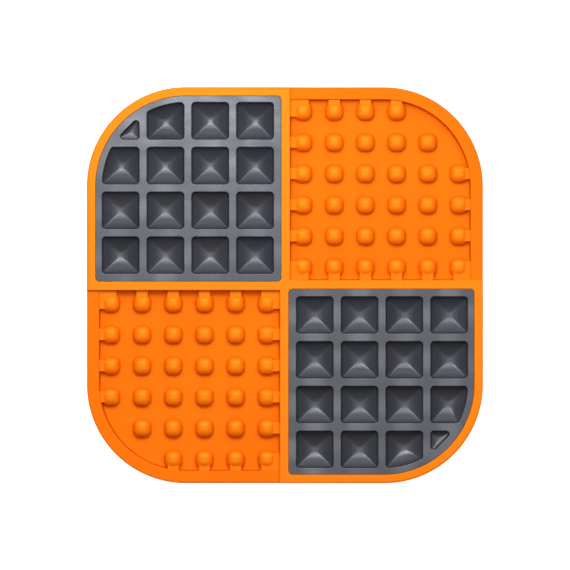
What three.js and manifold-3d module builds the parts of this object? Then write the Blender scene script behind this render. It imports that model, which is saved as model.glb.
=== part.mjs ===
// Square lick mat: one moulded rubber base with two nubbed pockets and two open seats,
// and a stiff grid insert lying in each seat.
// Millimetres, +Z up. The origin is the middle of the flat underside.
import * as THREE from 'three';
import { mergeVertices } from 'three/addons/utils/BufferGeometryUtils.js';
import Module from 'manifold-3d';

const wasm = await Module();
wasm.setup();

// Whole mat
const MAT_SIZE = 200;
const CORNER_RADIUS = 50;
const FRAME_TOP = 10;
const RIM_TOP = 8;
const EDGE_CHAMFER = 0.8;
const FIT_GAP = 0.3;

// Grid insert, measured from the centre lines of the mat
const INSERT_NEAR = 1.9;
const INSERT_FAR = 95.5;
const INSERT_SMALL_RADIUS = 2;
const SEAT_FLOOR = 1.5;

// Cells of the insert
const CELL_COUNT = 4;
const CELL_SIZE = 19.45;
const RIB_WIDTH = 3.15;
const CELL_START = 5.35;
const CELL_CORNER_RADIUS = 1.8;
const CELL_EDGE = 6.8;
const CELL_BOTTOM = 2.8;
const CELL_TAPER = 0.975;

// Small three sided cell in the rounded corner of the insert
const TRIANGLE_LEG = 11.6;
const TRIANGLE_CORNER_RADIUS = 1.5;
const TRIANGLE_EDGE = 7.4;
const TRIANGLE_BOTTOM = 6.6;

// Nubbed pocket, measured from the centre lines of the mat
const POCKET_NEAR = 2.55;
const POCKET_FAR = 93.75;
const POCKET_SMALL_RADIUS = 0.5;
const POCKET_FLOOR = 3.5;

// Nubs and the tabs that join the outer nubs to the walls
const NUB_COUNT = 6;
const NUB_START = 9.15;
const NUB_PITCH = 15.75;
const NUB_WIDTH = 9.2;
const NUB_CORNER_RADIUS = 3;
const NUB_TOP = 8.3;
const TAB_WIDTH = 5.9;
const TAB_TOP = 7.2;
const ROOT_DEPTH = 0.5;

// Rings of a nub: how far each lies below the crown, and how far inside the nub's full width
const NUB_RINGS = [
  { drop: NUB_TOP - POCKET_FLOOR + ROOT_DEPTH, inset: 0 },
  { drop: 2.4, inset: 0.15 },
  { drop: 1.15, inset: 0.95 },
  { drop: 0.35, inset: 2.1 },
  { drop: 0, inset: 3.3 },
];

// Share of a cell's outline at each ring of its sunken floor, from the wall inwards, and the
// power of that share with which the floor rises from its bottom
const FLOOR_SHARES = [1, 0.74, 0.48, 0.22];
const FLOOR_POWER = 1.6;

const MAT_CORNER_SEGMENTS = 12;
const SMALL_CORNER_SEGMENTS = 2;
const CELL_ARC_SEGMENTS = 4;
const CUT_CLEARANCE = 1;
const QUARTER_TURN = 90;

// Worked out from the driving sizes: every large corner shares the centre of the mat's corner
const HALF = MAT_SIZE / 2;
const ARC_CENTRE = HALF - CORNER_RADIUS;
const INSERT_RADIUS = INSERT_FAR - ARC_CENTRE;
const POCKET_RADIUS = POCKET_FAR - ARC_CENTRE;
const CELL_PITCH = CELL_SIZE + RIB_WIDTH;
const LAST_CELL = CELL_COUNT - 1;
const LAST_CELL_START = CELL_START + LAST_CELL * CELL_PITCH;
const CELL_ARC_RADIUS = LAST_CELL_START + CELL_SIZE - ARC_CENTRE;

const RUBBER = new THREE.MeshStandardMaterial({ color: 0xff8010, roughness: 0.45, metalness: 0 });
const GRID_PLASTIC = new THREE.MeshStandardMaterial({ color: 0x5d5f66, roughness: 0.35, metalness: 0 });

// Outlines

// Replaces each corner by an arc of its own radius. Corners run anticlockwise; a radius of 0
// keeps the point as it is.
function roundedOutline(corners) {
  const outline = [];
  corners.forEach((item, index) => {
    const point = new THREE.Vector2(item.x, item.y);
    if (item.radius === 0) {
      outline.push(point);
      return;
    }
    const before = corners[(index + corners.length - 1) % corners.length];
    const after = corners[(index + 1) % corners.length];
    const toBefore = new THREE.Vector2(before.x, before.y).sub(point).normalize();
    const toAfter = new THREE.Vector2(after.x, after.y).sub(point).normalize();
    const halfAngle = Math.acos(toBefore.dot(toAfter)) / 2;
    const bisector = toBefore.clone().add(toAfter).normalize();
    const centre = point.clone().addScaledVector(bisector, item.radius / Math.sin(halfAngle));
    const turn = Math.PI - 2 * halfAngle;
    const start = bisector.angle() + Math.PI - turn / 2;
    for (let step = 0; step <= item.segments; step += 1) {
      const angle = start + (turn * step) / item.segments;
      const x = centre.x + item.radius * Math.cos(angle);
      const y = centre.y + item.radius * Math.sin(angle);
      outline.push(new THREE.Vector2(x, y));
    }
  });
  return outline;
}

function corner(x, y, radius, segments) {
  return { x, y, radius, segments };
}

// A square standing in the +X +Y quarter, with its large corner towards the mat's corner
function quarterOutline(near, far, largeRadius, smallRadius) {
  return roundedOutline([
    corner(near, near, smallRadius, SMALL_CORNER_SEGMENTS),
    corner(far, near, smallRadius, SMALL_CORNER_SEGMENTS),
    corner(far, far, largeRadius, MAT_CORNER_SEGMENTS),
    corner(near, far, smallRadius, SMALL_CORNER_SEGMENTS),
  ]);
}

function squareOutline(half, radius, segments) {
  return roundedOutline([
    corner(-half, -half, radius, segments),
    corner(half, -half, radius, segments),
    corner(half, half, radius, segments),
    corner(-half, half, radius, segments),
  ]);
}

// Solids

function toSolid(geometry) {
  geometry.deleteAttribute('normal');
  geometry.deleteAttribute('uv');
  const merged = mergeVertices(geometry);
  const vertProperties = new Float32Array(merged.attributes.position.array);
  const triVerts = new Uint32Array(merged.index.array);
  return new wasm.Manifold(new wasm.Mesh({ numProp: 3, vertProperties, triVerts }));
}

function toGeometry(solid) {
  const mesh = solid.getMesh();
  const geometry = new THREE.BufferGeometry();
  geometry.setAttribute('position', new THREE.BufferAttribute(mesh.vertProperties, 3));
  geometry.setIndex(new THREE.BufferAttribute(mesh.triVerts, 1));
  return geometry;
}

function prism(outline, bottom, top) {
  const geometry = new THREE.ExtrudeGeometry(new THREE.Shape(outline), {
    depth: top - bottom,
    bevelEnabled: false,
  });
  geometry.translate(0, 0, bottom);
  return toSolid(geometry);
}

function block(x0, x1, y0, y1, z0, z1) {
  const geometry = new THREE.BoxGeometry(x1 - x0, y1 - y0, z1 - z0);
  geometry.translate((x0 + x1) / 2, (y0 + y1) / 2, (z0 + z1) / 2);
  return toSolid(geometry);
}

// Skins a stack of rings, upwards or downwards. The first ring has a flat cap, and so has the
// last one unless a tip closes it.
function loft(rings, tip = null) {
  const count = rings[0].points.length;
  const last = (rings.length - 1) * count;
  const downwards = rings[1].z < rings[0].z;
  const positions = [];
  const index = [];
  const face = (a, b, c) => (downwards ? index.push(a, c, b) : index.push(a, b, c));
  rings.forEach((ring) => {
    ring.points.forEach((point) => positions.push(point.x, point.y, ring.z));
  });
  for (let level = 0; level + 1 < rings.length; level += 1) {
    for (let side = 0; side < count; side += 1) {
      const next = (side + 1) % count;
      const a = level * count + side;
      const b = level * count + next;
      face(a, b, b + count);
      face(a, b + count, a + count);
    }
  }
  const cap = THREE.ShapeUtils.triangulateShape(rings[0].points, []);
  cap.forEach(([a, b, c]) => face(a, c, b));
  if (tip) {
    positions.push(tip.x, tip.y, tip.z);
    for (let side = 0; side < count; side += 1) {
      face(last + side, last + ((side + 1) % count), last + count);
    }
  } else {
    cap.forEach(([a, b, c]) => face(last + a, last + b, last + c));
  }
  const geometry = new THREE.BufferGeometry();
  geometry.setAttribute('position', new THREE.BufferAttribute(new Float32Array(positions), 3));
  geometry.setIndex(index);
  return toSolid(geometry);
}

function joined(solids) {
  return solids.reduce((whole, solid) => whole.add(solid));
}

function turned(solid, quarterTurns) {
  return solid.rotate([0, 0, QUARTER_TURN * quarterTurns]);
}

// Grid insert

function cellCorners(column, row) {
  const x0 = CELL_START + column * CELL_PITCH;
  const y0 = CELL_START + row * CELL_PITCH;
  const radius = CELL_CORNER_RADIUS;
  return [
    corner(x0, y0, radius, SMALL_CORNER_SEGMENTS),
    corner(x0 + CELL_SIZE, y0, radius, SMALL_CORNER_SEGMENTS),
    corner(x0 + CELL_SIZE, y0 + CELL_SIZE, radius, SMALL_CORNER_SEGMENTS),
    corner(x0, y0 + CELL_SIZE, radius, SMALL_CORNER_SEGMENTS),
  ];
}

// The last column's cell beside the rounded corner: its outer side follows that corner's arc
function cutCellCorners(row) {
  const [inner, outer, , top] = cellCorners(LAST_CELL, row);
  const startAngle = Math.asin((inner.y - ARC_CENTRE) / CELL_ARC_RADIUS);
  const endAngle = Math.asin((top.y - ARC_CENTRE) / CELL_ARC_RADIUS);
  const arc = [];
  for (let step = 0; step <= CELL_ARC_SEGMENTS; step += 1) {
    const angle = startAngle + ((endAngle - startAngle) * step) / CELL_ARC_SEGMENTS;
    const x = ARC_CENTRE + CELL_ARC_RADIUS * Math.cos(angle);
    const y = ARC_CENTRE + CELL_ARC_RADIUS * Math.sin(angle);
    const radius = step === 0 || step === CELL_ARC_SEGMENTS ? outer.radius : 0;
    arc.push(corner(x, y, radius, SMALL_CORNER_SEGMENTS));
  }
  return [inner, ...arc, top];
}

function mirroredOnDiagonal(corners) {
  return corners.map((item) => corner(item.y, item.x, item.radius, item.segments)).reverse();
}

function triangleCorners() {
  const start = LAST_CELL_START;
  const end = start + TRIANGLE_LEG;
  const radius = TRIANGLE_CORNER_RADIUS;
  return [
    corner(start, start, radius, SMALL_CORNER_SEGMENTS),
    corner(end, start, radius, SMALL_CORNER_SEGMENTS),
    corner(start, end, radius, SMALL_CORNER_SEGMENTS),
  ];
}

function middleOf(outline) {
  const middle = new THREE.Vector2();
  const area = THREE.ShapeUtils.area(outline);
  outline.forEach((point, index) => {
    const next = outline[(index + 1) % outline.length];
    const cross = point.cross(next) / (6 * area);
    middle.x += (point.x + next.x) * cross;
    middle.y += (point.y + next.y) * cross;
  });
  return middle;
}

function shrunk(outline, middle, share) {
  return outline.map((point) => point.clone().sub(middle).multiplyScalar(share).add(middle));
}

// The hollow of one cell, from its open mouth down nearly upright walls to the edge of a floor
// that sinks to a bottom in the middle, like an upturned pyramid with hollow sides
function cellHollow(corners, edge, bottom) {
  const outline = roundedOutline(corners);
  const middle = middleOf(outline);
  const rings = [
    { z: FRAME_TOP + CUT_CLEARANCE, points: outline },
    { z: FRAME_TOP, points: outline },
  ];
  FLOOR_SHARES.forEach((share) => {
    const rise = (edge - bottom) * share ** FLOOR_POWER;
    rings.push({ z: bottom + rise, points: shrunk(outline, middle, share * CELL_TAPER) });
  });
  return loft(rings, new THREE.Vector3(middle.x, middle.y, bottom));
}

function insertSolid() {
  const outline = quarterOutline(INSERT_NEAR, INSERT_FAR, INSERT_RADIUS, INSERT_SMALL_RADIUS);
  const hollows = [];
  for (let column = 0; column < CELL_COUNT; column += 1) {
    for (let row = 0; row < CELL_COUNT; row += 1) {
      const atRoundedCorner = column + row >= 2 * LAST_CELL - 1;
      if (!atRoundedCorner) {
        hollows.push(cellHollow(cellCorners(column, row), CELL_EDGE, CELL_BOTTOM));
      }
    }
  }
  const cutCell = cutCellCorners(LAST_CELL - 1);
  hollows.push(cellHollow(cutCell, CELL_EDGE, CELL_BOTTOM));
  hollows.push(cellHollow(mirroredOnDiagonal(cutCell), CELL_EDGE, CELL_BOTTOM));
  hollows.push(cellHollow(triangleCorners(), TRIANGLE_EDGE, TRIANGLE_BOTTOM));
  return prism(outline, SEAT_FLOOR + FIT_GAP, FRAME_TOP).subtract(joined(hollows));
}

// Base

// The mat's outer form up to one height, with both outer edges broken
function outerForm(top) {
  const full = squareOutline(HALF, CORNER_RADIUS, MAT_CORNER_SEGMENTS);
  const inset = squareOutline(
    HALF - EDGE_CHAMFER,
    CORNER_RADIUS - EDGE_CHAMFER,
    MAT_CORNER_SEGMENTS,
  );
  return loft([
    { z: 0, points: inset },
    { z: EDGE_CHAMFER, points: full },
    { z: top - EDGE_CHAMFER, points: full },
    { z: top, points: inset },
  ]);
}

// The higher part, which is the frame round both seats and the dividing cross
function raisedForm() {
  const reach = HALF + CUT_CLEARANCE;
  const lowQuarter = block(
    POCKET_NEAR, reach, POCKET_NEAR, reach, -CUT_CLEARANCE, FRAME_TOP + CUT_CLEARANCE,
  );
  return outerForm(FRAME_TOP).subtract(lowQuarter).subtract(turned(lowQuarter, 2));
}

function seatHollow() {
  const outline = quarterOutline(
    INSERT_NEAR - FIT_GAP,
    INSERT_FAR + FIT_GAP,
    INSERT_RADIUS + FIT_GAP,
    INSERT_SMALL_RADIUS + FIT_GAP,
  );
  return prism(outline, SEAT_FLOOR, FRAME_TOP + CUT_CLEARANCE);
}

function pocketHollow() {
  const outline = quarterOutline(POCKET_NEAR, POCKET_FAR, POCKET_RADIUS, POCKET_SMALL_RADIUS);
  return prism(outline, POCKET_FLOOR, FRAME_TOP + CUT_CLEARANCE);
}

function nub(x, y) {
  const full = squareOutline(NUB_WIDTH / 2, NUB_CORNER_RADIUS, SMALL_CORNER_SEGMENTS);
  const rings = NUB_RINGS.map((ring) => {
    const share = 1 - ring.inset / (NUB_WIDTH / 2);
    return { z: NUB_TOP - ring.drop, points: shrunk(full, new THREE.Vector2(), share) };
  });
  return loft(rings).translate([x, y, 0]);
}

// A nub fits where it stays clear of the pocket's large corner
function nubFits(x, y) {
  const beyond = Math.min(x, y) > ARC_CENTRE;
  const reach = Math.hypot(x - ARC_CENTRE, y - ARC_CENTRE) + NUB_WIDTH / 2;
  return !beyond || reach < POCKET_RADIUS;
}

// Along one axis: a nub's middle, and the reach of a tab from it, which goes on into the wall
// beside a first or last nub
function nubPlace(index) {
  const middle = NUB_START + index * NUB_PITCH;
  const atWall = index === 0 || index === NUB_COUNT - 1;
  const low = index === 0 ? POCKET_NEAR - ROOT_DEPTH : middle - TAB_WIDTH / 2;
  const high = index === NUB_COUNT - 1 ? POCKET_FAR + ROOT_DEPTH : middle + TAB_WIDTH / 2;
  return { middle, atWall, low, high };
}

// All nubs of one pocket, with a tab from each outer nub to its wall. A nub in a corner has
// walls on two sides, and its tab fills that corner.
function nubField() {
  const pieces = [];
  for (let column = 0; column < NUB_COUNT; column += 1) {
    for (let row = 0; row < NUB_COUNT; row += 1) {
      const x = nubPlace(column);
      const y = nubPlace(row);
      const fits = nubFits(x.middle, y.middle);
      if (fits) {
        pieces.push(nub(x.middle, y.middle));
      }
      if (fits && (x.atWall || y.atWall)) {
        pieces.push(block(x.low, x.high, y.low, y.high, POCKET_FLOOR - ROOT_DEPTH, TAB_TOP));
      }
    }
  }
  return joined(pieces);
}

function baseSolid() {
  const seat = seatHollow();
  const pocket = pocketHollow();
  const nubs = nubField();
  return outerForm(RIM_TOP)
    .add(raisedForm())
    .subtract(turned(seat, 1))
    .subtract(turned(seat, 3))
    .subtract(pocket)
    .subtract(turned(pocket, 2))
    .add(nubs)
    .add(turned(nubs, 2));
}

// Assembly: the base, and one insert turned into each seat

function piece(name, solid, material) {
  const mesh = new THREE.Mesh(toGeometry(solid), material);
  mesh.name = name;
  return mesh;
}

const mat = new THREE.Group();
mat.add(piece('base', baseSolid(), RUBBER));

const insert = insertSolid();
const INSERT_PLACES = [
  { name: 'insert_nw', turn: Math.PI / 2 },
  { name: 'insert_se', turn: -Math.PI / 2 },
];
INSERT_PLACES.forEach((place) => {
  const mesh = piece(place.name, insert, GRID_PLASTIC.clone());
  mesh.rotation.z = place.turn;
  mat.add(mesh);
});

export default mat;
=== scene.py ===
import math

import bmesh
import bpy
import numpy as np
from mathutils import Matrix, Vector


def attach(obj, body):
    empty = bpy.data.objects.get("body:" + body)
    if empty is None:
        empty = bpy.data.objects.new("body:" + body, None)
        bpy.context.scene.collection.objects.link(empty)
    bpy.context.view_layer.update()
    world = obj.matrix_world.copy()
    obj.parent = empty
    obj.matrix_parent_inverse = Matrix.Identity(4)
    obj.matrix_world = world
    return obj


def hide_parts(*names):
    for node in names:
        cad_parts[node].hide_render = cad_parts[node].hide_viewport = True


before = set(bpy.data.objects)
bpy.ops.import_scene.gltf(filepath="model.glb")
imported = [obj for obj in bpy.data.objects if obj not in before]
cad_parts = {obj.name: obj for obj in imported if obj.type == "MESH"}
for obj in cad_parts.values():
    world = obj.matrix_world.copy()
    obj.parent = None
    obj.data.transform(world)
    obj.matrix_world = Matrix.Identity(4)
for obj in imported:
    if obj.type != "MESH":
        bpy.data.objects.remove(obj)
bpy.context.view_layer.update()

# Sizes in millimetres. They are those of the CAD source, apart from small radii, the gap at the
# seats and the triangular cells, which are as large here as in the photo. A quarter is given as it
# lies at +X +Y, and "near" is towards the middle of the mat.
MM = 0.001
HALF = 100.0
CORNER_RADIUS = 50.0
ARC_CENTRE = HALF - CORNER_RADIUS
FRAME_TOP = 10.0
RIM_TOP = 8.0
OUTER_EDGE_RADIUS = 1.0
LOWER_EDGE_RADIUS = 0.6

INSERT_NEAR = 1.9
INSERT_FAR = 95.5
INSERT_SMALL_RADIUS = 2.0
INSERT_BOTTOM = 1.8
INSERT_EDGE_RADIUS = 0.2
INSERT_LOWER_CHAMFER = 0.2
SEAT_FLOOR = 1.5
SEAT_GAP = 0.08
SEAT_EDGE_RADIUS = 0.2

CELL_COUNT = 4
CELL_SIZE = 19.45
CELL_PITCH = 22.6
CELL_START = 5.35
CELL_CORNER_RADIUS = 2.2
CELL_EDGE = 6.8
CELL_BOTTOM = 2.8
CELL_INSET = 0.45
CELL_DRAFT = 0.65
CELL_MOUTH_RADIUS = 0.45
CELL_FLOOR_FILLET = 0.45
CELL_VALLEY_CRISPNESS = 24.0
CELL_FLOOR_POWER = 1.8
LAST_START = CELL_START + (CELL_COUNT - 1) * CELL_PITCH
CELL_ARC_RADIUS = LAST_START + CELL_SIZE - ARC_CENTRE

TRIANGLE_LEG = 13.1
TRIANGLE_CORNER_RADIUS = 2.0
TRIANGLE_EDGE = 6.6
TRIANGLE_BOTTOM = 5.8

POCKET_NEAR = 2.55
POCKET_FAR = 93.75
POCKET_SMALL_RADIUS = 0.6
POCKET_FLOOR = 3.5
POCKET_LIP_RADIUS = 0.35
POCKET_FILLET = 0.25
POCKET_DRAFT = 0.5
DIVIDER_EDGE_RADIUS = 0.4

NUB_COUNT = 6
NUB_START = 9.15
NUB_PITCH = 15.75
NUB_WIDTH = 9.2
NUB_CORNER_RADIUS = 3.5
NUB_TOP = 8.3
NUB_SHOULDER = 4.0
NUB_SHOULDER_DROP = 3.2
NUB_FLARE = 0.35
NUB_FLARE_BEND = 0.3
NUB_NECK = 0.04
TAB_WIDTH = 5.9
TAB_TOP = 7.2
TAB_EDGE_RADIUS = 0.35
TAB_CORNER_RADIUS = 0.4
ROOT_DEPTH = 0.5
CUT_CLEARANCE = 1.0

# How finely curves are drawn
MAT_CORNER_STEPS = 40
INSERT_CORNER_STEPS = 48
POCKET_CORNER_STEPS = 44
SMALL_CORNER_STEPS = 6
CELL_SIDE_STEPS = 9
CELL_ARC_STEPS = 12
CELL_FLOOR_STEPS = 20
TRIANGLE_SIDE_STEPS = 7
NUB_SIDE_STEPS = 2
NUB_DOME_STEPS = 12
TAB_CORNER_STEPS = 3
FINE_ROUNDING_STEPS = 5
ROUNDING_STEPS = 4
COARSE_ROUNDING_STEPS = 3
INSERT_SHARP_ANGLE = 42
BASE_SHARP_ANGLE = 50

# Where the materials change, in millimetres, as the pair of places between which they do
CROWN_HEIGHTS = (6.0, 8.3)
FRAME_HEIGHTS = (8.4, 9.6)
NUB_AREA_EDGE = (43.4, 43.8)
FAR_WALL = (43.0, 43.3)
FAR_WALL_LIMIT = (44.5, 46.0)
NEAR_WALL = (2.9, 3.2)
WALL_FOOT = (3.6, 4.2)
WALL_HEAD = (6.6, 7.4)
PLASTIC_TOP = (9.3, 9.9)

RUBBER_LOW = ((0.82, 0.121, 0.0006), (0.82, 0.139, 0.0010))
# A lighter copy of the rubber colour, painted as the light that the raised tops catch.
RUBBER_PAINTED_LIT_TOPS = ((0.84, 0.147, 0.0016), (0.84, 0.159, 0.0020))
# A darker rubber colour, painted as shade on the steep pocket walls.
RUBBER_WALL_PAINTED_SHADE = (0.56, 0.074, 0.0005)
PLASTIC_PLAIN = ((0.035, 0.036, 0.043), (0.042, 0.043, 0.051))
# A lighter plastic colour, painted as highlights on the rib tops.
PLASTIC_PAINTED_HIGHLIGHT = (0.09, 0.094, 0.107)
FLOOR_TONES = ((0.9, 0.9, 0.9), (0.92, 0.92, 0.92))

# Stage, light and camera, in metres
STAGE_HALF = 3
STAGE_DROP = 0.0001
PHOTO_WIDTH = 0.2876
CAMERA_DISTANCE = 3.0
CAMERA_TARGET = (0.00005, 0.00008, 0.009)
SENSOR_WIDTH_MM = 36


# Outlines: rows of x, y and the outward normal, anticlockwise

def arc(cx, cy, radius, start, end, steps):
    angles = np.linspace(start, end, steps + 1)
    normals = np.stack([np.cos(angles), np.sin(angles)], axis=1)
    return np.hstack([np.array([cx, cy]) + radius * normals, normals])


def joined_arcs(arcs, side_steps):
    rows = []
    for index, part in enumerate(arcs):
        following = arcs[(index + 1) % len(arcs)]
        touching = np.linalg.norm(part[-1, :2] - following[0, :2]) < 1e-6
        rows.append(part[:-1] if touching else part)
        if not touching:
            for step in range(1, side_steps):
                share = step / side_steps
                rows.append(((1 - share) * part[-1] + share * following[0])[None, :])
    return np.vstack(rows)


def polygon(corners, side_steps=1):
    """corners: rows of x, y, radius, steps."""
    arcs = []
    count = len(corners)
    for index, (x, y, radius, steps) in enumerate(corners):
        here = Vector((x, y))
        before = (here - Vector(corners[index - 1][:2])).normalized()
        after = (Vector(corners[(index + 1) % count][:2]) - here).normalized()
        n1 = Vector((before.y, -before.x))
        n2 = Vector((after.y, -after.x))
        centre = here - radius * (n1 + n2) / (1 + n1.dot(n2))
        start = math.atan2(n1.y, n1.x)
        end = math.atan2(n2.y, n2.x)
        if end < start:
            end += 2 * math.pi
        arcs.append(arc(centre.x, centre.y, radius, start, end, steps))
    return joined_arcs(arcs, side_steps)


def square(half, radius, steps, side_steps=1):
    return polygon([
        (-half, -half, radius, steps),
        (half, -half, radius, steps),
        (half, half, radius, steps),
        (-half, half, radius, steps),
    ], side_steps)


def quarter(near, far, small_radius, steps):
    """Outline of a quarter whose large corner has the same centre as the mat's own."""
    small = (small_radius, SMALL_CORNER_STEPS)
    return polygon([
        (near, near, *small),
        (far, near, *small),
        (far, far, far - ARC_CENTRE, steps),
        (near, far, *small),
    ])


def ring(outline, offset, z):
    xy = outline[:, :2] + offset * outline[:, 2:]
    return np.hstack([xy, np.full((len(outline), 1), z)])


def rounding(radius, steps=FINE_ROUNDING_STEPS):
    """Pairs (in, down) along a quarter round, from the flat top to the upright side."""
    angles = np.linspace(0, math.pi / 2, steps + 1)
    return [(radius * (1 - math.sin(a)), radius * (1 - math.cos(a))) for a in angles]


# Meshes

def loft(rings, tip=None):
    """Closed skin over a stack of rings, with a flat cap at each end or a tip at the last."""
    count = len(rings[0])
    verts = [tuple(point) for points in rings for point in points]
    faces = [tuple(range(count))]
    for level in range(len(rings) - 1):
        low = level * count
        high = low + count
        for side in range(count):
            following = (side + 1) % count
            faces.append((low + side, low + following, high + following, high + side))
    last = (len(rings) - 1) * count
    if tip is None:
        faces.append(tuple(range(last, last + count)))
    else:
        verts.append(tuple(tip))
        for side in range(count):
            faces.append((last + side, last + (side + 1) % count, len(verts) - 1))
    return verts, faces


def turned(shell, quarter_turns):
    verts, faces = shell
    for _ in range(quarter_turns % 4):
        verts = [(-y, x, z) for x, y, z in verts]
    return verts, faces


def moved(shell, x, y):
    verts, faces = shell
    return [(vx + x, vy + y, vz) for vx, vy, vz in verts], faces


def solid(name, shells):
    mesh = bmesh.new()
    for verts, faces in shells:
        made = [mesh.verts.new(point) for point in verts]
        for face in faces:
            mesh.faces.new([made[index] for index in face])
    bmesh.ops.recalc_face_normals(mesh, faces=mesh.faces)
    data = bpy.data.meshes.new(name)
    mesh.to_mesh(data)
    mesh.free()
    obj = bpy.data.objects.new(name, data)
    bpy.context.scene.collection.objects.link(obj)
    return obj


def combine(obj, operation, other):
    """Boolean of obj with other, which is used up."""
    modifier = obj.modifiers.new("combine", "BOOLEAN")
    modifier.operation = operation
    modifier.solver = "MANIFOLD"
    modifier.object = other
    apply_modifiers(obj)
    bpy.data.objects.remove(other)
    return obj


def apply_modifiers(obj):
    depsgraph = bpy.context.evaluated_depsgraph_get()
    depsgraph.update()
    made = bpy.data.meshes.new_from_object(obj.evaluated_get(depsgraph))
    obj.modifiers.clear()
    old = obj.data
    obj.data = made
    bpy.data.meshes.remove(old)


def finished(obj, name, sharp_angle):
    """Scales to metres, shades smooth except at sharp edges, and names the piece."""
    obj.data.transform([[MM, 0, 0, 0], [0, MM, 0, 0], [0, 0, MM, 0], [0, 0, 0, 1]])
    obj.data.polygons.foreach_set("use_smooth", [True] * len(obj.data.polygons))
    obj.data.set_sharp_from_angle(angle=math.radians(sharp_angle))
    modifier = obj.modifiers.new("normals", "WEIGHTED_NORMAL")
    modifier.keep_sharp = True
    modifier.weight = 100
    apply_modifiers(obj)
    obj.name = name
    obj.data.name = name
    return obj


# Grid insert

def cell_outline(column, row):
    """Outline of a cell, its straight sides as a point and an outward normal, and the radius
    of its round side, here none."""
    x = CELL_START + column * CELL_PITCH
    y = CELL_START + row * CELL_PITCH
    r = CELL_CORNER_RADIUS
    right = x + CELL_SIZE
    top = y + CELL_SIZE
    outline = polygon([
        (x, y, r, SMALL_CORNER_STEPS), (right, y, r, SMALL_CORNER_STEPS),
        (right, top, r, SMALL_CORNER_STEPS), (x, top, r, SMALL_CORNER_STEPS),
    ], CELL_SIDE_STEPS)
    sides = [((x, y), (0, -1)), ((right, y), (1, 0)), ((x, top), (0, 1)), ((x, y), (-1, 0))]
    return outline, sides, None


def cut_outline(mirrored):
    """The cell whose outer side follows the insert's rounded corner."""
    r = CELL_CORNER_RADIUS
    x = LAST_START
    y = CELL_START + (CELL_COUNT - 2) * CELL_PITCH
    top = y + CELL_SIZE
    reach = CELL_ARC_RADIUS - r
    low_x = ARC_CENTRE + math.sqrt(reach ** 2 - (y + r - ARC_CENTRE) ** 2)
    high_x = ARC_CENTRE + math.sqrt(reach ** 2 - (top - r - ARC_CENTRE) ** 2)
    start = math.atan2(y + r - ARC_CENTRE, low_x - ARC_CENTRE)
    end = math.atan2(top - r - ARC_CENTRE, high_x - ARC_CENTRE)
    steps = SMALL_CORNER_STEPS
    outline = joined_arcs([
        arc(x + r, y + r, r, math.pi, 1.5 * math.pi, steps),
        arc(low_x, y + r, r, -0.5 * math.pi, start, steps),
        arc(ARC_CENTRE, ARC_CENTRE, CELL_ARC_RADIUS, start, end, CELL_ARC_STEPS),
        arc(high_x, top - r, r, end, 0.5 * math.pi, steps),
        arc(x + r, top - r, r, 0.5 * math.pi, math.pi, steps),
    ], CELL_SIDE_STEPS)
    sides = [((x, y), (0, -1)), ((x, top), (0, 1)), ((x, y), (-1, 0))]
    if mirrored:
        outline = outline[::-1][:, [1, 0, 3, 2]]
        sides = [(point[::-1], normal[::-1]) for point, normal in sides]
    return outline, sides, CELL_ARC_RADIUS


def triangle_outline():
    near = LAST_START
    far = LAST_START + TRIANGLE_LEG
    rounded = (TRIANGLE_CORNER_RADIUS, SMALL_CORNER_STEPS)
    outline = polygon(
        [(near, near, *rounded), (far, near, *rounded), (near, far, *rounded)],
        TRIANGLE_SIDE_STEPS,
    )
    slope = math.sqrt(0.5)
    sides = [((near, near), (0, -1)), ((far, near), (slope, slope)), ((near, near), (-1, 0))]
    return outline, sides, None


def area_middle(outline):
    x, y = outline[:, 0], outline[:, 1]
    nx, ny = np.roll(x, -1), np.roll(y, -1)
    cross = x * ny - nx * y
    return np.array([((x + nx) * cross).sum(), ((y + ny) * cross).sum()]) / (3 * cross.sum())


def outward_share(points, middle, sides, arc_radius):
    """0 at the middle of a cell and 1 at its sides, with the valleys to its corners rounded."""
    def depth(p):
        found = [(np.array(q) - p) @ np.array(n) - CELL_DRAFT for q, n in sides]
        if arc_radius:
            out = np.linalg.norm(p - ARC_CENTRE, axis=-1)
            found.append(arc_radius - CELL_DRAFT - out)
        return np.array(found)

    share = 1 - depth(points) / depth(middle[None, :])
    crispness = CELL_VALLEY_CRISPNESS
    blended = np.log(np.exp(crispness * share).sum(axis=0)) / crispness
    blunt = math.log(len(share)) / crispness
    return np.clip((blended - blunt) / (1 - blunt), 0, 1)


def cell_cutter(shape, edge, bottom):
    """Hollow of one cell: upright walls down to the edge height, then a floor that sinks
    more and more gently to the bottom in the middle."""
    outline, sides, arc_radius = shape
    middle = area_middle(outline)
    mouth = CELL_MOUTH_RADIUS - CELL_INSET
    rings = [ring(outline, mouth, FRAME_TOP + CUT_CLEARANCE)]
    for inwards, down in rounding(CELL_MOUTH_RADIUS):
        rings.append(ring(outline, inwards - CELL_INSET, FRAME_TOP - down))
    rings.append(ring(outline, -CELL_DRAFT, edge + CELL_FLOOR_FILLET))
    foot = outline[:, :2] - (CELL_DRAFT + CELL_FLOOR_FILLET / 2) * outline[:, 2:]
    for share in np.linspace(1, 0, CELL_FLOOR_STEPS)[:-1]:
        xy = middle + share * (foot - middle)
        rise = outward_share(xy, middle, sides, arc_radius) ** CELL_FLOOR_POWER
        z = bottom + (edge - bottom) * rise
        rings.append(np.hstack([xy, z[:, None]]))
    return loft(rings, (middle[0], middle[1], bottom))


def insert_shell():
    outline = quarter(INSERT_NEAR, INSERT_FAR, INSERT_SMALL_RADIUS, INSERT_CORNER_STEPS)
    rings = [
        ring(outline, -INSERT_LOWER_CHAMFER, INSERT_BOTTOM),
        ring(outline, 0, INSERT_BOTTOM + INSERT_LOWER_CHAMFER),
    ]
    for inwards, down in reversed(rounding(INSERT_EDGE_RADIUS, COARSE_ROUNDING_STEPS)):
        rings.append(ring(outline, -inwards, FRAME_TOP - down))
    return loft(rings)


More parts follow.
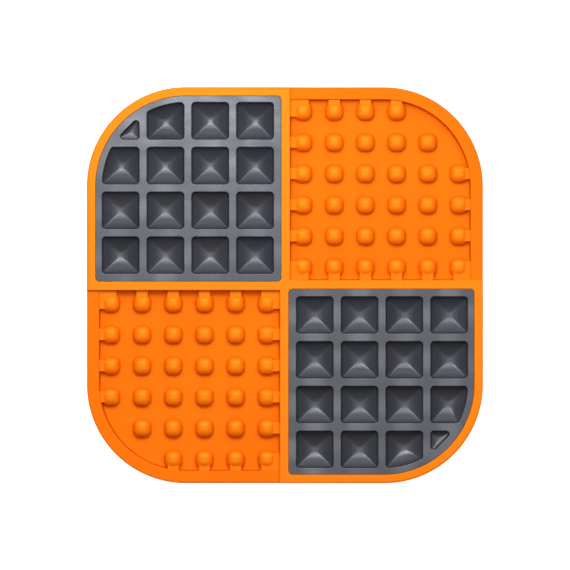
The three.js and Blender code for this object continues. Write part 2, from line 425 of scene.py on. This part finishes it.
def insert_cutters():
    cutters = []
    for column in range(CELL_COUNT):
        for row in range(CELL_COUNT):
            if column + row < 2 * CELL_COUNT - 3:
                cutters.append(cell_cutter(cell_outline(column, row), CELL_EDGE, CELL_BOTTOM))
    for mirrored in (False, True):
        cutters.append(cell_cutter(cut_outline(mirrored), CELL_EDGE, CELL_BOTTOM))
    cutters.append(cell_cutter(triangle_outline(), TRIANGLE_EDGE, TRIANGLE_BOTTOM))
    return cutters


def insert_piece(name, quarter_turns):
    body = solid("insert_body", [turned(insert_shell(), quarter_turns)])
    cutters = solid("insert_cutters", [turned(s, quarter_turns) for s in insert_cutters()])
    return finished(combine(body, "DIFFERENCE", cutters), name, INSERT_SHARP_ANGLE)


# Base

def outer_form(top):
    outline = square(HALF, CORNER_RADIUS, MAT_CORNER_STEPS)
    lower_edge = rounding(LOWER_EDGE_RADIUS, COARSE_ROUNDING_STEPS)
    rings = [ring(outline, -inwards, up) for inwards, up in lower_edge]
    for inwards, down in reversed(rounding(OUTER_EDGE_RADIUS)):
        rings.append(ring(outline, -inwards, top - down))
    return loft(rings)


def low_quarter():
    """Cutter that lowers one quarter: upright near sides with a rounded upper edge."""
    reach = HALF + 2 * CUT_CLEARANCE
    levels = [(0, -CUT_CLEARANCE)]
    for inwards, down in reversed(rounding(DIVIDER_EDGE_RADIUS, ROUNDING_STEPS)):
        levels.append((inwards, FRAME_TOP - down))
    levels.append((DIVIDER_EDGE_RADIUS, FRAME_TOP + CUT_CLEARANCE))
    rings = []
    for flare, z in levels:
        near = POCKET_NEAR - flare
        rings.append(np.array([
            (near, near, z), (reach, near, z), (reach, reach, z), (near, reach, z),
        ]))
    return loft(rings)


def seat_cutter():
    outline = quarter(
        INSERT_NEAR - SEAT_GAP, INSERT_FAR + SEAT_GAP,
        INSERT_SMALL_RADIUS + SEAT_GAP, INSERT_CORNER_STEPS,
    )
    rings = [ring(outline, 0, SEAT_FLOOR)]
    for inwards, down in reversed(rounding(SEAT_EDGE_RADIUS, COARSE_ROUNDING_STEPS)):
        rings.append(ring(outline, inwards, FRAME_TOP - down))
    rings.append(ring(outline, SEAT_EDGE_RADIUS, FRAME_TOP + CUT_CLEARANCE))
    return loft(rings)


def pocket_cutter():
    """Its far sides have a rounded lip at the rim; its near sides run on up the divider."""
    outline = quarter(POCKET_NEAR, POCKET_FAR, POCKET_SMALL_RADIUS, POCKET_CORNER_STEPS)
    far_only = np.hstack([outline[:, :2], np.maximum(outline[:, 2:], 0)])
    rings = []
    for inwards, down in rounding(POCKET_FILLET, ROUNDING_STEPS):
        rings.append(ring(outline, -POCKET_DRAFT - inwards, POCKET_FLOOR + down))
    for inwards, down in reversed(rounding(POCKET_LIP_RADIUS, ROUNDING_STEPS)):
        rings.append(ring(far_only, inwards, RIM_TOP - down))
    rings.append(ring(far_only, POCKET_LIP_RADIUS, FRAME_TOP + CUT_CLEARANCE))
    return loft(rings)


def nub():
    outline = square(NUB_WIDTH / 2, NUB_CORNER_RADIUS, SMALL_CORNER_STEPS, NUB_SIDE_STEPS)
    bend = NUB_FLARE * NUB_FLARE_BEND
    rings = [
        ring(outline, NUB_FLARE, POCKET_FLOOR - ROOT_DEPTH),
        ring(outline, NUB_FLARE, POCKET_FLOOR),
        ring(outline, bend, POCKET_FLOOR + bend),
        ring(outline, NUB_NECK, POCKET_FLOOR + NUB_FLARE),
    ]
    for angle in np.linspace(math.pi / 2, 0, NUB_DOME_STEPS)[:-1]:
        share = 1 - NUB_SHOULDER * (1 - math.sin(angle)) / (NUB_WIDTH / 2)
        drop = NUB_SHOULDER_DROP * (1 - math.cos(angle))
        dome = outline.copy()
        dome[:, :2] *= share
        rings.append(ring(dome, 0, NUB_TOP - drop))
    return loft(rings, (0, 0, NUB_TOP))


def tab(x0, x1, y0, y1):
    rounded = (TAB_CORNER_RADIUS, TAB_CORNER_STEPS)
    outline = polygon([
        (x0, y0, *rounded), (x1, y0, *rounded), (x1, y1, *rounded), (x0, y1, *rounded),
    ])
    rings = [ring(outline, 0, POCKET_FLOOR - ROOT_DEPTH)]
    for inwards, down in reversed(rounding(TAB_EDGE_RADIUS, ROUNDING_STEPS)):
        rings.append(ring(outline, -inwards, TAB_TOP - down))
    return loft(rings)


def nub_fits(x, y):
    """False where the pocket's large round corner takes the nub's room."""
    in_corner = min(x, y) > ARC_CENTRE
    reach = math.hypot(x - ARC_CENTRE, y - ARC_CENTRE) + NUB_WIDTH / 2
    return not in_corner or reach < POCKET_FAR - ARC_CENTRE


def nub_place(index):
    """Middle of a nub along one axis, whether it stands at a wall, and its tab's two ends."""
    middle = NUB_START + index * NUB_PITCH
    last = NUB_COUNT - 1
    low = POCKET_NEAR - ROOT_DEPTH if index == 0 else middle - TAB_WIDTH / 2
    high = POCKET_FAR + ROOT_DEPTH if index == last else middle + TAB_WIDTH / 2
    return middle, index in (0, last), low, high


def nubs_and_tabs():
    nubs, tabs = [], []
    for column in range(NUB_COUNT):
        for row in range(NUB_COUNT):
            x, x_wall, x0, x1 = nub_place(column)
            y, y_wall, y0, y1 = nub_place(row)
            if not nub_fits(x, y):
                continue
            nubs.append(moved(nub(), x, y))
            if x_wall or y_wall:
                tabs.append(tab(x0, x1, y0, y1))
    return nubs, tabs


def both(shells):
    """The shells of one quarter, and the same for the quarter across from it."""
    return shells + [turned(shell, 2) for shell in shells]


def base_piece(name):
    raised = solid("raised", [outer_form(FRAME_TOP)])
    combine(raised, "DIFFERENCE", solid("low_quarters", both([low_quarter()])))
    base = solid("base_body", [outer_form(RIM_TOP)])
    combine(base, "UNION", raised)
    seats = [turned(seat_cutter(), 1), turned(seat_cutter(), 3)]
    combine(base, "DIFFERENCE", solid("hollows", seats + both([pocket_cutter()])))
    nubs, tabs = nubs_and_tabs()
    combine(base, "UNION", solid("tabs", both(tabs)))
    combine(base, "UNION", solid("nubs", both(nubs)))
    return finished(base, name, BASE_SHARP_ANGLE)


# Materials

class Nodes:
    """Short way to lay out a material's nodes."""

    def __init__(self, name):
        self.material = bpy.data.materials.new(name)
        self.material.use_nodes = True
        self.tree = self.material.node_tree
        self.shader = self.tree.nodes["Principled BSDF"]
        self.place = self.add("ShaderNodeTexCoord").outputs["Object"]

    def add(self, kind, **inputs):
        made = self.tree.nodes.new(kind)
        for key, value in inputs.items():
            made.inputs[key].default_value = value
        return made

    def link(self, source, target):
        self.tree.links.new(source, target)

    def noise(self, scale, detail=2.0, roughness=0.5, stretch=(1, 1, 1)):
        mapping = self.add("ShaderNodeMapping", Scale=stretch)
        self.link(self.place, mapping.inputs["Vector"])
        made = self.add("ShaderNodeTexNoise", Scale=scale, Detail=detail, Roughness=roughness)
        self.link(mapping.outputs["Vector"], made.inputs["Vector"])
        return made.outputs["Fac"]

    def spread(self, source, low, high, out_low, out_high, smooth=False):
        made = self.tree.nodes.new("ShaderNodeMapRange")
        if smooth:
            made.interpolation_type = "SMOOTHSTEP"
        for key, value in zip(("From Min", "From Max", "To Min", "To Max"),
                              (low, high, out_low, out_high)):
            made.inputs[key].default_value = value
        self.link(source, made.inputs["Value"])
        return made.outputs["Result"]

    def ramp(self, source, places, falling=False, smooth=False):
        """0 to 1, or 1 to 0, between two places given in millimetres."""
        low, high = (place * MM for place in places)
        ends = (1, 0) if falling else (0, 1)
        return self.spread(source, low, high, *ends, smooth=smooth)

    def product(self, first, *others):
        for other in others:
            first = self.math("MULTIPLY", first, other)
        return first

    def blend(self, factor, first, second):
        made = self.tree.nodes.new("ShaderNodeMix")
        made.data_type = "RGBA"
        self.link(factor, made.inputs[0])
        for socket, value in ((made.inputs[6], first), (made.inputs[7], second)):
            if isinstance(value, tuple):
                socket.default_value = (*value, 1)
            else:
                self.link(value, socket)
        return made.outputs[2]

    def axis(self, name):
        split = self.add("ShaderNodeSeparateXYZ")
        self.link(self.place, split.inputs[0])
        return split.outputs[name]

    def math(self, operation, *values):
        made = self.tree.nodes.new("ShaderNodeMath")
        made.operation = operation
        for socket, value in zip(made.inputs, values):
            if isinstance(value, (int, float)):
                socket.default_value = value
            else:
                self.link(value, socket)
        return made.outputs[0]

    def beyond(self, limit):
        """How far a point lies outside a square of this half width, rounded at the corners."""
        squares = []
        for name in "XY":
            out = self.math("SUBTRACT", self.math("ABSOLUTE", self.axis(name)), limit)
            out = self.math("MAXIMUM", out, 0)
            squares.append(self.math("MULTIPLY", out, out))
        return self.math("SQRT", self.math("ADD", *squares))

    def ripple(self, name, pitch, middle):
        """1 at the middle of each cell along an axis and -1 halfway between two."""
        out = self.math("SUBTRACT", self.math("ABSOLUTE", self.axis(name)), middle)
        return self.math("COSINE", self.math("MULTIPLY", out, 2 * math.pi / pitch))

    def bump(self, source, strength, distance, before=None):
        made = self.add("ShaderNodeBump", Strength=strength, Distance=distance)
        self.link(source, made.inputs["Height"])
        if before:
            self.link(before, made.inputs["Normal"])
        return made.outputs["Normal"]


def pocket_wall_shade(nodes, height, beyond):
    """1 on the steep walls of the pockets, where a darker colour is painted as their shade."""
    far = nodes.ramp(beyond, FAR_WALL)
    nearest = nodes.math("MINIMUM", *[nodes.math("ABSOLUTE", nodes.axis(a)) for a in "XY"])
    near = nodes.ramp(nearest, NEAR_WALL, falling=True)
    return nodes.product(
        nodes.math("MAXIMUM", far, near),
        nodes.ramp(beyond, FAR_WALL_LIMIT, falling=True),
        nodes.ramp(height, WALL_FOOT),
        nodes.ramp(height, WALL_HEAD, falling=True),
    )


def orange_rubber():
    """Glossier on the nubs' crowns and on the high frame, where a lighter colour is painted as the
    light these raised tops catch; a darker colour is painted as shade on the steep pocket walls.
    """
    nodes = Nodes("orange_rubber")
    height = nodes.axis("Z")
    beyond = nodes.beyond(ARC_CENTRE * MM)
    crown = nodes.ramp(height, CROWN_HEIGHTS, smooth=True)
    inside = nodes.ramp(beyond, NUB_AREA_EDGE, falling=True)
    top = nodes.ramp(height, FRAME_HEIGHTS, smooth=True)
    raised = nodes.math("MAXIMUM", nodes.product(crown, inside), top)
    cloudy = nodes.spread(nodes.noise(14, 3), 0.35, 0.65, 0, 1)
    # Painted light: the nub crowns and the high frame take the lighter copy of the rubber colour.
    flat = nodes.blend(raised, nodes.blend(cloudy, *RUBBER_LOW), nodes.blend(cloudy, *RUBBER_PAINTED_LIT_TOPS))
    # Painted shade: the steep pocket walls take the darker colour.
    colour = nodes.blend(pocket_wall_shade(nodes, height, beyond), flat, RUBBER_WALL_PAINTED_SHADE)
    nodes.link(colour, nodes.shader.inputs["Base Color"])
    grain = nodes.noise(1500, 3, 0.6)
    gloss = nodes.spread(raised, 0, 1, 0.7, 0.44)
    rough = nodes.math("ADD", gloss, nodes.spread(grain, 0.3, 0.7, -0.03, 0.03))
    nodes.link(rough, nodes.shader.inputs["Roughness"])
    wavy = nodes.bump(nodes.noise(60, 2), 0.12, 0.0006)
    nodes.link(nodes.bump(grain, 0.12, 0.00006, wavy), nodes.shader.inputs["Normal"])
    nodes.shader.inputs["Specular IOR Level"].default_value = 0.7
    nodes.shader.inputs["Specular Tint"].default_value = (1.0, 0.8, 0.09, 1)
    return nodes.material


def grey_plastic():
    """Dark and cloudy, with lighter patches painted on the top of the ribs, midway along each
    cell, as highlights.
    """
    nodes = Nodes("grey_plastic")
    cloudy = nodes.spread(nodes.noise(35, 3), 0.35, 0.65, 0, 1)
    plain = nodes.blend(cloudy, *PLASTIC_PLAIN)
    half_cell = CELL_START + CELL_SIZE / 2
    across = [nodes.ripple(axis, CELL_PITCH * MM, half_cell * MM) for axis in "XY"]
    span = nodes.spread(nodes.math("MAXIMUM", *across), -0.6, 1, 0, 1, smooth=True)
    patchy = nodes.spread(nodes.noise(38, 1), 0.4, 0.66, 0.1, 1)
    # Painted highlight: patches on the rib tops, midway along each cell, take the lighter colour.
    painted_highlight = nodes.product(span, patchy, nodes.ramp(nodes.axis("Z"), PLASTIC_TOP))
    colour = nodes.blend(painted_highlight, plain, PLASTIC_PAINTED_HIGHLIGHT)
    nodes.link(colour, nodes.shader.inputs["Base Color"])
    grain = nodes.noise(1800, 2, 0.6)
    streaks = nodes.noise(70, 2, 0.5, (1, 2.5, 1))
    nodes.link(nodes.spread(streaks, 0.35, 0.65, 0.22, 0.34), nodes.shader.inputs["Roughness"])
    wavy = nodes.bump(nodes.noise(55, 1), 0.2, 0.0008)
    nodes.link(nodes.bump(grain, 0.08, 0.00004, wavy), nodes.shader.inputs["Normal"])
    nodes.shader.inputs["Specular IOR Level"].default_value = 0.53
    nodes.shader.inputs["Specular Tint"].default_value = (0.88, 0.92, 1.0, 1)
    return nodes.material


def floor_white():
    nodes = Nodes("floor_white")
    cloudy = nodes.spread(nodes.noise(3, 2), 0.3, 0.7, 0, 1)
    nodes.link(nodes.blend(cloudy, *FLOOR_TONES), nodes.shader.inputs["Base Color"])
    nodes.shader.inputs["Roughness"].default_value = 0.9
    nodes.shader.inputs["Emission Color"].default_value = (1, 1, 1, 1)
    nodes.shader.inputs["Emission Strength"].default_value = 0.9
    return nodes.material


def dressed(obj, material, node):
    obj.data.materials.clear()
    obj.data.materials.append(material)
    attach(obj, "root")
    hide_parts(node)


rubber = orange_rubber()
plastic = grey_plastic()
dressed(base_piece("base_skin"), rubber, "base")
dressed(insert_piece("insert_nw_skin", 1), plastic, "insert_nw")
dressed(insert_piece("insert_se_skin", 3), plastic, "insert_se")


# Stage, light and camera

floor_mesh = bpy.data.meshes.new("floor")
floor_mesh.from_pydata([
    (-STAGE_HALF, -STAGE_HALF, 0), (STAGE_HALF, -STAGE_HALF, 0),
    (STAGE_HALF, STAGE_HALF, 0), (-STAGE_HALF, STAGE_HALF, 0),
], [], [(0, 1, 2, 3)])
floor = bpy.data.objects.new("floor", floor_mesh)
floor.location.z = -STAGE_DROP
bpy.context.scene.collection.objects.link(floor)
floor_mesh.materials.append(floor_white())


def softbox(name, place, aim, size, power):
    data = bpy.data.lights.new(name, "AREA")
    data.shape = "RECTANGLE"
    data.size, data.size_y = size
    data.energy = power
    obj = bpy.data.objects.new(name, data)
    obj.location = place
    obj.rotation_euler = (Vector(aim) - Vector(place)).to_track_quat("-Z", "Y").to_euler()
    bpy.context.scene.collection.objects.link(obj)


softbox("ceiling", (0.0, 0.42, 1.1), (0, 0.42, 0), (2.0, 1.62), 6.9)
softbox("panel", (0.0, 0.12, 1.0), (0, 0.12, 0), (0.56, 0.72), 1.9)
softbox("key", (0.0, 0.55, 0.95), (0, 0, 0), (1.4, 0.5), 8.6)
softbox("north", (0.0, 1.3, 0.75), (0, 0, 0), (1.6, 0.5), 3.2)
softbox("over", (-0.05, 0.16, 0.43), (-0.05, 0.16, 0), (0.12, 0.18), 0.55)

world = bpy.data.worlds.new("studio")
world.use_nodes = True
world.node_tree.nodes["Background"].inputs["Color"].default_value = (1, 1, 1, 1)
world.node_tree.nodes["Background"].inputs["Strength"].default_value = 0.125
bpy.context.scene.world = world

view = bpy.context.scene.view_settings
view.view_transform = "Standard"
view.look = "None"

# The photo is taken from straight above, and the camera's own rotation looks straight down.
camera_data = bpy.data.cameras.new("camera")
camera_data.sensor_width = SENSOR_WIDTH_MM
camera_data.lens = SENSOR_WIDTH_MM * CAMERA_DISTANCE / PHOTO_WIDTH
camera_data.clip_start = 0.1
camera_data.clip_end = 20
camera = bpy.data.objects.new("camera", camera_data)
camera.location = Vector(CAMERA_TARGET) + Vector((0, 0, CAMERA_DISTANCE))
bpy.context.scene.collection.objects.link(camera)
bpy.context.scene.camera = camera
